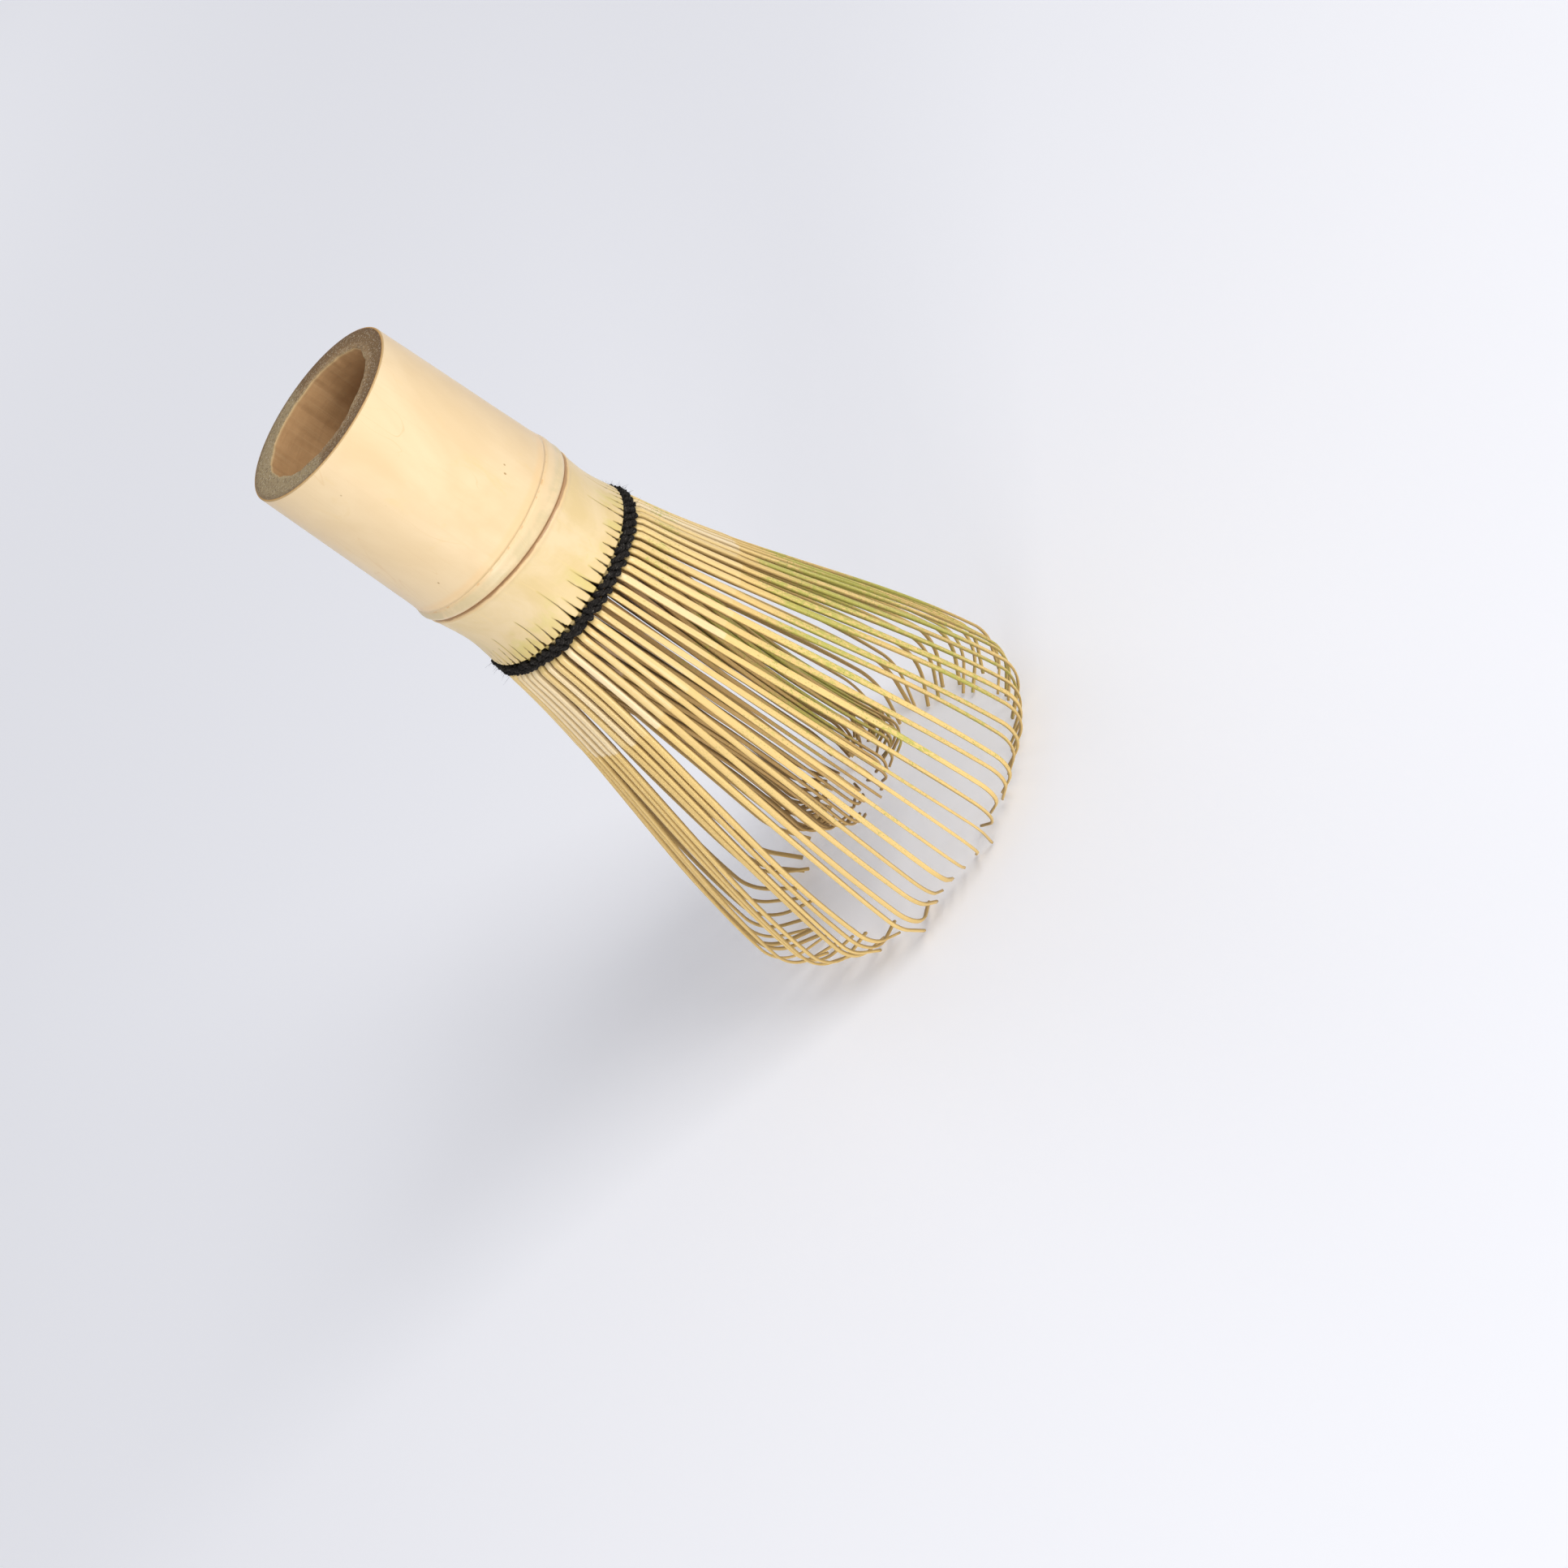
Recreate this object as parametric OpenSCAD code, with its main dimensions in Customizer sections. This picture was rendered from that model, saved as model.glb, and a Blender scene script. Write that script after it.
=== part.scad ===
// Bamboo tea whisk. One length of culm is cut into a hollow grip, a node and a
// collar whose lower end is split into tines. A cotton thread holds the outer
// tines apart from the inner ones.
//
// The whisk stands on the tips of its outer tines: +Z runs up the culm from the
// tips to the rim of the grip, and the origin is on the culm's axis at the tips.
// Places along the culm are given as drops below the rim.

/* [Culm] */
// Height of the whisk, tips to rim
whisk_h = 113; // [105:0.5:121]
// Outer radius of the grip at its rim
rim_r = 14; // [13.5:0.1:14.4]
// Outer radius of the grip where it meets the node
grip_foot_r = 14.75; // [14.5:0.05:14.9]
// Radius of the hollow in the grip
bore_r = 10.2; // [9.8:0.1:11]
// Length of the grip, rim to node
grip_h = 28; // [24:0.5:28]
// Radius of the ridge round the node
ridge_r = 14.95; // [14.8:0.05:15.4]
// Slope of the leaf scar below the ridge, in degrees
scar_tilt = 3.5; // [0:0.5:4]

/* [Collar] */
// Drop from the rim to the thread
thread_drop = 43.5; // [43:0.1:44.5]
// Outer radius of the collar at its waist
waist_r = 14.3; // [14:0.1:14.5]
// Outer radius of the collar's flared lip above the thread
lip_r = 15.05; // [14.8:0.05:15.3]
// Radius of the hollow in the collar
collar_bore_r = 10.6; // [10.2:0.1:10.8]
// Length of the splits above the thread, between the segments
split_h = 7; // [5:0.1:8]
// Width of a split
split_w = 0.3; // [0.2:0.05:0.35]

/* [Tines] */
// Number of segments that the culm is split into
segments = 16; // [16]
// Outer tines cut from one segment
tines_each = 4; // [3:1:4]
// Radius of the bell at the bend of the outer tines
bell_r = 28.8; // [27:0.1:30]
// Width of an outer tine at its root
outer_w = 1; // [0.8:0.05:1]
// Width of an outer tine at its tip
outer_tip_w = 0.5; // [0.4:0.05:0.5]
// Thickness of an outer tine below the thread
outer_t = 1.05; // [0.8:0.05:1.1]
// Radius of the bundle at the bend of the inner tines
bundle_r = 11; // [10:0.1:12]
// Width of an inner tine at its root
inner_w = 0.6; // [0.4:0.05:0.6]
// Width of an inner tine at its tip
inner_tip_w = 0.4; // [0.25:0.05:0.4]
// Thickness of an inner tine at its root
inner_t = 0.9; // [0.7:0.05:1]

/* [Thread] */
// Diameter of one outer course of thread
course_d = 1.1; // [0.9:0.05:1.1]
// Diameter of the inner course of thread
inner_course_d = 0.8; // [0.6:0.05:0.8]

/* [Hidden] */
culm_color = [0.96, 0.85, 0.63];
septum_color = [0.72, 0.55, 0.36];
collar_color = [0.95, 0.84, 0.58];
outer_color = [0.93, 0.79, 0.47];
inner_color = [0.74, 0.67, 0.33];
thread_color = [0.06, 0.06, 0.07];

// How round a turned shape is, how far a cut runs past what it cuts, and the edge
// of the block that everything below the leaf scar fits in.
turned_sides = 96;
thread_sides = 24;
past = 1;
block = 40;

// Node: the ridge stands a little below the grip, and the septum closes the
// grip's hollow on a ledge inside the node.
ridge_drop = 1.3;
node_h = 3;
septum_r = 9.5;
septum_t = 1.6;
septum_gap = 0.1;
recess_r = septum_r + septum_gap;
node_bore_r = 8.6;
rim_chamfer = 0.3;
scar_drop = grip_h + node_h;
tilt_room = (lip_r + past) * tan(scar_tilt);

// Collar: its lower end is a seat for the upper course of thread, and its foot is
// just above the middle of the thread.
collar_foot = thread_drop - 0.1;
seat_r = 14.15;
seat_h = 1.05;
waist_drop = 36.5;
waist_h = 2;
scar_step = 0.05;
lip_slope_h = 0.3;

// Thread: two outer courses lie one below the other, a hair apart, on the seat.
course_gap = 0.02;
course_pitch = course_d + course_gap;
seat_gap = 0.05;
course_r = seat_r + course_d / 2 + seat_gap;
inner_course_r = 12.5;
inner_course_drop = thread_drop + 0.8;

// Tines: each is a curved strip, thinned towards a hooked tip. It keeps its root
// width over the first stretch and then narrows. A swell is the pair of radii that
// draw its curve outwards or inwards between the root and the bend.
tine_step = 360 / (segments * tines_each);
segment_step = 360 / segments;
full_width_l = 20;
outer_swell = [18.1, 27];
inner_swell = [9.6, 8.6];
root_gap = 0.3;
root_r = 13.85;
root_t = 0.65;
root_h = 0.7;
shoulder_r = 15.5;
shoulder_drop = thread_drop + 1.7;
outer_hook_r = 6.5;
outer_bend = 50;
outer_tip_l = 4;
outer_tip_t = 0.45;
inner_root_r = 11.9;
inner_top = collar_foot + root_gap;
inner_shoulder_drop = thread_drop + 1.8;
inner_hook_r = 3.5;
inner_bend = 65;
inner_tip_l = 2;
inner_tip_t = 0.35;
inner_lift = 12;
curve_steps = 7;
hook_steps = 4;

// The bend starts so far above the tips that a tip ends just at the origin's height.
outer_lean = 5;
hook_drop_rise = outer_hook_r * (sin(outer_bend) + sin(outer_lean));
tip_rise = outer_tip_l * cos(outer_bend);
bend_drop = whisk_h - hook_drop_rise - tip_rise;
inner_bend_drop = bend_drop - inner_lift + outer_hook_r - inner_hook_r;
inner_lean = 7;

function two_digits(n) = n < 10 ? str("0", n) : str(n);
outer_names = [for (i = [1:segments]) str("outer_tines_", two_digits(i))];
inner_names = [for (i = [1:segments]) str("inner_tines_", two_digits(i))];

// Height above the tips of a place at a drop below the rim.
function height(drop) = whisk_h - drop;

// Point at t on a cubic curve: its radius from four values, its drop in even steps.
function curve_point(radii, top, bottom, t) = [
    radii[0] * pow(1 - t, 3) + 3 * radii[1] * t * pow(1 - t, 2)
        + 3 * radii[2] * t * t * (1 - t) + radii[3] * pow(t, 3),
    top + (bottom - top) * t
];

// Points of a tine's face: a curve from root to bend, an arc round the hook, and
// a straight tip. Each point is [radius, drop].
function tine_face(radii, top, bottom, hook, lean, bend, tip_l) =
    let (
        centre = [radii[3] - hook * cos(lean), bottom + hook * sin(lean)],
        end = centre + hook * [cos(bend), sin(bend)]
    )
    concat(
        [for (i = [0:curve_steps]) curve_point(radii, top, bottom, i / curve_steps)],
        [for (i = [1:hook_steps])
            let (a = -lean + (bend + lean) * i / hook_steps)
            centre + hook * [cos(a), sin(a)]],
        [end + tip_l * [-sin(bend), cos(bend)]]
    );

// Unit vector at point i of a face, square to it and towards the axis.
function inward(face, i) =
    let (
        step = face[min(i + 1, len(face) - 1)] - face[max(i - 1, 0)],
        unit = step / norm(step)
    )
    [-unit[1], unit[0]];

// The face set back by a thickness that thins evenly from root to tip.
function back_face(face, thick, thin) = [
    for (i = [0:len(face) - 1])
        face[i] + inward(face, i) * (thick + (thin - thick) * i / (len(face) - 1))
];

outer_face = tine_face([shoulder_r, outer_swell[0], outer_swell[1], bell_r],
    shoulder_drop, bend_drop, outer_hook_r, outer_lean, outer_bend, outer_tip_l);
outer_root = [
    [root_r, thread_drop + root_gap],
    [root_r, thread_drop + root_gap + root_h]
];
outer_root_back = [
    [root_r - root_t, thread_drop + root_gap + root_h],
    [root_r - root_t, thread_drop + root_gap]
];
inner_face = tine_face([inner_root_r, inner_swell[0], inner_swell[1], bundle_r],
    inner_shoulder_drop, inner_bend_drop, inner_hook_r, inner_lean, inner_bend, inner_tip_l);
inner_root = [[inner_root_r, inner_top]];
inner_root_back = [[inner_root_r - inner_t, inner_top]];

function reversed(list) = [for (i = [len(list) - 1:-1:0]) list[i]];

// Ring turned from an outline of [radius, drop] points.
module turned(outline) {
    rotate_extrude($fn = turned_sides) polygon([for (p = outline) [p[0], height(p[1])]]);
}

// Everything below the leaf scar's plane, which slopes down towards +X.
module below_scar() {
    translate([0, 0, height(scar_drop)]) rotate([0, scar_tilt, 0])
        translate([-block / 2, -block / 2, -block]) cube(block);
}

module grip() {
    color(culm_color) turned([
        [bore_r, 0],
        [rim_r - rim_chamfer, 0],
        [rim_r, rim_chamfer],
        [grip_foot_r, grip_h],
        [bore_r, grip_h]
    ]);
}

module septum() {
    color(septum_color) translate([0, 0, height(grip_h + septum_t)])
        cylinder(r = septum_r, h = septum_t, $fn = turned_sides);
}

module node_ridge() {
    color(culm_color) difference() {
        turned([
            [recess_r, grip_h],
            [grip_foot_r, grip_h],
            [ridge_r, grip_h + ridge_drop],
            [grip_foot_r, scar_drop],
            [grip_foot_r, scar_drop + tilt_room],
            [node_bore_r, scar_drop + tilt_room],
            [node_bore_r, grip_h + septum_t],
            [recess_r, grip_h + septum_t]
        ]);
        below_scar();
    }
}

// One split, cut through the wall from the collar's foot upwards to a point.
module split() {
    translate([0, 0, height(collar_foot)]) rotate([90, 0, 90])
        linear_extrude(height = lip_r + past) polygon([
            [-split_w / 2, -past],
            [split_w / 2, -past],
            [split_w / 2, seat_h + split_h / 2],
            [0, seat_h + split_h],
            [-split_w / 2, seat_h + split_h / 2]
        ]);
}

module collar() {
    color(collar_color) difference() {
        intersection() {
            turned([
                [collar_bore_r, scar_drop - tilt_room],
                [grip_foot_r, scar_drop - tilt_room],
                [grip_foot_r - scar_step, scar_drop + tilt_room],
                [waist_r, waist_drop - waist_h / 2],
                [waist_r, waist_drop + waist_h / 2],
                [lip_r, collar_foot - seat_h - lip_slope_h],
                [seat_r, collar_foot - seat_h],
                [seat_r, collar_foot],
                [collar_bore_r, collar_foot]
            ]);
            below_scar();
        }
        for (i = [0:segments - 1])
            rotate([0, 0, (i + 0.5) * segment_step]) split();
    }
}

// One turn of thread round the culm.
module course(r, drop, d) {
    color(thread_color) translate([0, 0, height(drop)])
        rotate_extrude($fn = turned_sides) translate([r, 0]) circle(d = d, $fn = thread_sides);
}

// One tine: its side outline, narrowed from root to tip.
module tine(outline, top, w, tip_w) {
    intersection() {
        rotate([90, 0, 0]) translate([0, 0, -w])
            linear_extrude(height = 2 * w)
                polygon([for (p = outline) [p[0], height(p[1])]]);
        rotate([90, 0, 90]) linear_extrude(height = bell_r + past) polygon([
            [-w / 2, height(top) + past],
            [w / 2, height(top) + past],
            [w / 2, height(top) - full_width_l],
            [tip_w / 2, 0],
            [tip_w / 2, -past],
            [-tip_w / 2, -past],
            [-tip_w / 2, 0],
            [-w / 2, height(top) - full_width_l]
        ]);
    }
}

module outer_tines(segment) {
    outline = concat(outer_root, outer_face,
        reversed(back_face(outer_face, outer_t, outer_tip_t)), outer_root_back);
    color(outer_color) for (i = [0:tines_each - 1])
        rotate([0, 0, (segment - 1) * segment_step + (i - (tines_each - 1) / 2) * tine_step])
            tine(outline, thread_drop, outer_w, outer_tip_w);
}

module inner_tines(segment) {
    outline = concat(inner_root, inner_face,
        reversed(back_face(inner_face, inner_t, inner_tip_t)), inner_root_back);
    color(inner_color) for (i = [0:tines_each - 1])
        rotate([0, 0, (segment - 1) * segment_step + (i + 1 - tines_each / 2) * tine_step])
            tine(outline, inner_top, inner_w, inner_tip_w);
}

grip();
septum();
node_ridge();
collar();
course(course_r, thread_drop - course_pitch / 2, course_d);  // thread_upper_course
course(course_r, thread_drop + course_pitch / 2, course_d);  // thread_lower_course
course(inner_course_r, inner_course_drop, inner_course_d);  // thread_inner_course
for (i = [1:segments])
    outer_tines(i);
for (i = [1:segments])
    inner_tines(i);
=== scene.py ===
import math

import bpy
import numpy as np
from mathutils import Matrix, Vector


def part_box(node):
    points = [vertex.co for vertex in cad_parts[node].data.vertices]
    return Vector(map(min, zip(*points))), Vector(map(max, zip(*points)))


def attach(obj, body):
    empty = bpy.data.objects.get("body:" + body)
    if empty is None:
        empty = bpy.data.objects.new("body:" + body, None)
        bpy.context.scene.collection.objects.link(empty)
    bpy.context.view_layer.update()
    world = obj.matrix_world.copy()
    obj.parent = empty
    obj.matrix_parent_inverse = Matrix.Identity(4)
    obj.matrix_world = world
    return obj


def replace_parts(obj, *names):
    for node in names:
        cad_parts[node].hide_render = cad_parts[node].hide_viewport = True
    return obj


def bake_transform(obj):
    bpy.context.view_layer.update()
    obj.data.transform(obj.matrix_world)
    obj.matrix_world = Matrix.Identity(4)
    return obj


# A bamboo tea whisk, standing on its tines. Lengths are in millimetres until a mesh
# is made. A drop is a distance down the culm's axis from the rim of the grip.

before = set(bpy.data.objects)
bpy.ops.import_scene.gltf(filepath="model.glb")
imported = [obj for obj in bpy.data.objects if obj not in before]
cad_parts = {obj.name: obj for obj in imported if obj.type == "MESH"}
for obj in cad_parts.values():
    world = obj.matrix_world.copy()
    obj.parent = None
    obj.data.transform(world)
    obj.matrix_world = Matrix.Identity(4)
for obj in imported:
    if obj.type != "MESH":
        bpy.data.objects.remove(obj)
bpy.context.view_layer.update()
MM = 0.001
TURN = 2 * math.pi

# --- Sizes from the frame -----------------------------------------------------------

WHISK_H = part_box("grip")[1].z / MM
RIM_R = 14.0
GRIP_H = (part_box("grip")[1].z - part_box("grip")[0].z) / MM
BORE_R = 10.2
SEPTUM_T = (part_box("septum")[1].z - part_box("septum")[0].z) / MM
SEPTUM_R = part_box("septum")[1].x / MM
COLLAR_FOOT = WHISK_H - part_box("collar")[0].z / MM
COLLAR_BORE_R = 10.6
NODE_BORE_R = 8.6
THREAD_DROP = COLLAR_FOOT + 0.1
BELL_R = 28.8
BUNDLE_R = 11.0

# --- Counts -------------------------------------------------------------------------

SEGMENTS = 16
TINES_EACH = 4
TINES = SEGMENTS * TINES_EACH
TINE_STEP = TURN / TINES

# --- The culm's own features --------------------------------------------------------

RIM_WEAR = 0.22
LIP_WEAR = 0.3
STEP_DROP = GRIP_H + 0.15
SCAR_DROP = GRIP_H + 3
SCAR_SLOPE = 0.9
SCAR_BROWN = (0.2, 0.1, 0.045)
SEAT_R = 14.15
SEAT_H = 1.05
SEAT_DROP = COLLAR_FOOT - SEAT_H
SHAVING_DROP = 61.0
STAIN_DROP = 62.0

rng = np.random.default_rng(20)


# --- Camera -------------------------------------------------------------------------

CAMERA_LENS = 83.85
CAMERA_PLACE = (0, -0.4766, WHISK_H * MM + 0.1621)
CAMERA_AHEAD = (-0.0120, 0.8827, -0.4698)
CAMERA_UP = (0.8266, 0.2732, 0.4922)


def make_camera():
    """A long lens that looks down on the grip's side, rolled so the whisk lies aslant."""
    data = bpy.data.cameras.new("camera")
    data.sensor_width = 36
    data.lens = CAMERA_LENS
    data.clip_end = 20
    camera = bpy.data.objects.new("camera", data)
    bpy.context.scene.collection.objects.link(camera)
    ahead = Vector(CAMERA_AHEAD).normalized()
    right = ahead.cross(Vector(CAMERA_UP)).normalized()
    up = right.cross(ahead)
    turn = Matrix((right, up, -ahead)).transposed().to_4x4()
    camera.matrix_world = Matrix.Translation(CAMERA_PLACE) @ turn
    bpy.context.scene.camera = camera


make_camera()


# --- Meshes from arrays of points ---------------------------------------------------

def smooth_through(points, x):
    """A smooth curve through (x, y) points: cubic pieces, each with the slopes that
    its two end points have between their own neighbours."""
    px, py = np.array(points, float).T
    slope = np.gradient(py, px)
    i = np.clip(np.searchsorted(px, x) - 1, 0, len(px) - 2)
    h = px[i + 1] - px[i]
    t = np.clip((x - px[i]) / h, 0, 1)
    level = py[i] * (1 + 2 * t) * (1 - t) ** 2 + py[i + 1] * t * t * (3 - 2 * t)
    return level + h * (slope[i] * t * (1 - t) ** 2 - slope[i + 1] * t * t * (1 - t))


def bump(x, centre, width):
    """A rounded bump of height 1 at the centre, falling off with the square of distance."""
    return np.exp(-((x - centre) / width) ** 2)


def ease(x, low, high):
    """0 below low, 1 above high, and a smooth rise between."""
    t = np.clip((x - low) / (high - low), 0, 1)
    return t * t * (3 - 2 * t)


def grid_faces(rows, cols, wrap_rows=False):
    """Four-sided faces of a grid whose columns close round; its rows may close too."""
    i = np.arange(rows if wrap_rows else rows - 1)[:, None]
    j = np.arange(cols)[None, :]
    i2 = (i + 1) % rows
    j2 = (j + 1) % cols
    corners = (i * cols + j, i * cols + j2, i2 * cols + j2, i2 * cols + j)
    return np.stack(np.broadcast_arrays(*corners), -1).reshape(-1, 4)


def signed_volume(points, quads):
    """Six times the volume inside the faces, positive where they face outwards."""
    a, b, c, d = (points[quads[:, k]] for k in range(4))
    first = np.einsum("ij,ij->i", a, np.cross(b, c))
    return (first + np.einsum("ij,ij->i", a, np.cross(c, d))).sum()


def make_mesh(name, points, quads, materials, ends=(), finish=None, facts=None):
    """One piece with its faces turned outwards: points in millimetres, quads, materials,
    end caps as lists of points, a material number for each quad, and facts stored at each
    point."""
    points = np.asarray(points, float).reshape(-1, 3)
    if signed_volume(points, quads) < 0:
        quads = quads[:, ::-1]
        ends = [end[::-1] for end in ends]
    mesh = bpy.data.meshes.new(name)
    mesh.from_pydata((points * MM).tolist(), [], quads.tolist() + [list(e) for e in ends])
    mesh.polygons.foreach_set("use_smooth", np.ones(len(mesh.polygons), bool))
    for material in materials:
        mesh.materials.append(material)
    if finish is not None:
        mesh.polygons.foreach_set("material_index", finish.astype(np.int32))
    for fact, values in (facts or {}).items():
        values = np.asarray(values, np.float32)
        if values.ndim > 1 and values.shape[-1] == 3:
            store = mesh.attributes.new(fact, "FLOAT_VECTOR", "POINT")
            store.data.foreach_set("vector", values.ravel())
        else:
            store = mesh.attributes.new(fact, "FLOAT", "POINT")
            store.data.foreach_set("value", values.ravel())
    mesh.update()
    piece = bpy.data.objects.new(name, mesh)
    bpy.context.scene.collection.objects.link(piece)
    return piece


def placed(radius, around, drop):
    """Points at a radius and an angle round the axis, at a drop below the rim."""
    height = WHISK_H - drop
    parts = (radius * np.cos(around), radius * np.sin(around), height)
    return np.stack(np.broadcast_arrays(*parts), -1)


# --- Materials ----------------------------------------------------------------------

def new_material(name):
    """A node material, its tree and its main shader."""
    material = bpy.data.materials.new(name)
    material.use_nodes = True
    return material, material.node_tree, material.node_tree.nodes["Principled BSDF"]


def node(tree, kind, inputs=None, **settings):
    """A node with its settings, and its inputs set to a value or linked to a socket."""
    made = tree.nodes.new(kind)
    for key, value in settings.items():
        setattr(made, key, value)
    for key, value in (inputs or {}).items():
        if isinstance(value, bpy.types.NodeSocket):
            tree.links.new(value, made.inputs[key])
        else:
            made.inputs[key].default_value = value
    return made


def stored(tree, fact, output="Fac"):
    """A fact stored at each point of the piece."""
    return node(tree, "ShaderNodeAttribute", attribute_name=fact).outputs[output]


def object_coord(tree):
    """The place on the object, in metres."""
    return node(tree, "ShaderNodeTexCoord").outputs["Object"]


def object_axis(tree, axis):
    """The place on the object along one axis, in metres: 0 for x, 1 for y and 2 for z."""
    return node(tree, "ShaderNodeSeparateXYZ", {0: object_coord(tree)}).outputs[axis]


def stretched(tree, place, scale):
    """A place, multiplied by a scale along each axis."""
    return node(tree, "ShaderNodeMapping", {"Vector": place, "Scale": scale}).outputs[0]


def noise(tree, place, detail=3, rough=0.55, twist=0.0):
    """Soft random blotches, from 0 to 1."""
    inputs = {
        "Vector": place,
        "Scale": 1.0,
        "Detail": detail,
        "Roughness": rough,
        "Distortion": twist,
    }
    return node(tree, "ShaderNodeTexNoise", inputs).outputs["Fac"]


def object_noise(tree, scale, **kind):
    """Blotches fixed to the object, with a scale per metre along each axis."""
    return noise(tree, stretched(tree, object_coord(tree), scale), **kind)


def own_noise(tree, scale, **kind):
    """Blotches fixed to a tine's or a strand's own place, so they bend with it."""
    return noise(tree, stretched(tree, stored(tree, "own", "Vector"), scale), **kind)


def spots(tree, scale):
    """The distance to the nearest of many spots scattered over the object."""
    place = stretched(tree, object_coord(tree), scale)
    inputs = {"Vector": place, "Scale": 1.0, "Randomness": 1.0}
    return node(tree, "ShaderNodeTexVoronoi", inputs).outputs["Distance"]


def rise(tree, value, low, high):
    """0 where a value is at low, 1 where it is at high, and a smooth change between."""
    inputs = {"Value": value, "From Min": low, "From Max": high}
    made = node(tree, "ShaderNodeMapRange", inputs, interpolation_type="SMOOTHSTEP")
    return made.outputs[0]


def maths(tree, operation, a, b=0.0):
    """Two numbers joined by an operation."""
    return node(tree, "ShaderNodeMath", {0: a, 1: b}, operation=operation).outputs[0]


def plus(tree, a, b):
    """The sum of two numbers."""
    return maths(tree, "ADD", a, b)


def minus(tree, a, b):
    """The first number less the second."""
    return maths(tree, "SUBTRACT", a, b)


def times(tree, a, b):
    """The product of two numbers."""
    return maths(tree, "MULTIPLY", a, b)


def band(tree, value, centre, half_width, soft):
    """1 inside a band round a centre, and a smooth fall to 0 outside it."""
    off = maths(tree, "ABSOLUTE", minus(tree, value, centre))
    return rise(tree, off, half_width + soft, half_width)


def mixed(tree, share, a, b):
    """Colour a turned into colour b by a share."""
    a = (*a, 1) if isinstance(a, tuple) else a
    b = (*b, 1) if isinstance(b, tuple) else b
    return node(tree, "ShaderNodeMix", {0: share, 6: a, 7: b}, data_type="RGBA").outputs[2]


def tinted(tree, colour, share, strength, tint):
    """A colour turned towards a tint, by a share times the tint's strength."""
    return mixed(tree, times(tree, share, strength), colour, tint)


def drop_below_rim(tree):
    """The drop below the rim, in millimetres."""
    return minus(tree, WHISK_H, maths(tree, "DIVIDE", object_axis(tree, 2), MM))


def radius_from_axis(tree):
    """The distance from the culm's axis, in millimetres."""
    inputs = {0: object_coord(tree), 1: (1, 1, 0)}
    flat = node(tree, "ShaderNodeVectorMath", inputs, operation="MULTIPLY").outputs[0]
    length = node(tree, "ShaderNodeVectorMath", {0: flat}, operation="LENGTH")
    return maths(tree, "DIVIDE", length.outputs["Value"], MM)


def below_scar(tree, drop, pattern):
    """How far a drop lies below the sloping leaf scar, in millimetres. A pattern from 0
    to 1 makes the scar's edge ragged."""
    slope = times(tree, object_axis(tree, 0), SCAR_SLOPE / RIM_R / MM)
    off = minus(tree, minus(tree, drop, SCAR_DROP), slope)
    return plus(tree, off, times(tree, minus(tree, pattern, 0.5), 0.5))


def raised(tree, shader, height, depth, strength):
    """Relief on a shader: a height from 0 to 1, worth a depth in millimetres."""
    inputs = {"Height": height, "Distance": depth * MM, "Strength": strength}
    made = node(tree, "ShaderNodeBump", inputs)
    tree.links.new(made.outputs[0], shader.inputs["Normal"])


def shine(shader, roughness, coat=0.0, coat_roughness=0.2, specular=0.5):
    """The gloss of a shader, where it is the same all over."""
    shader.inputs["Roughness"].default_value = roughness
    shader.inputs["Coat Weight"].default_value = coat
    shader.inputs["Coat Roughness"].default_value = coat_roughness
    shader.inputs["Specular IOR Level"].default_value = specular


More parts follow.
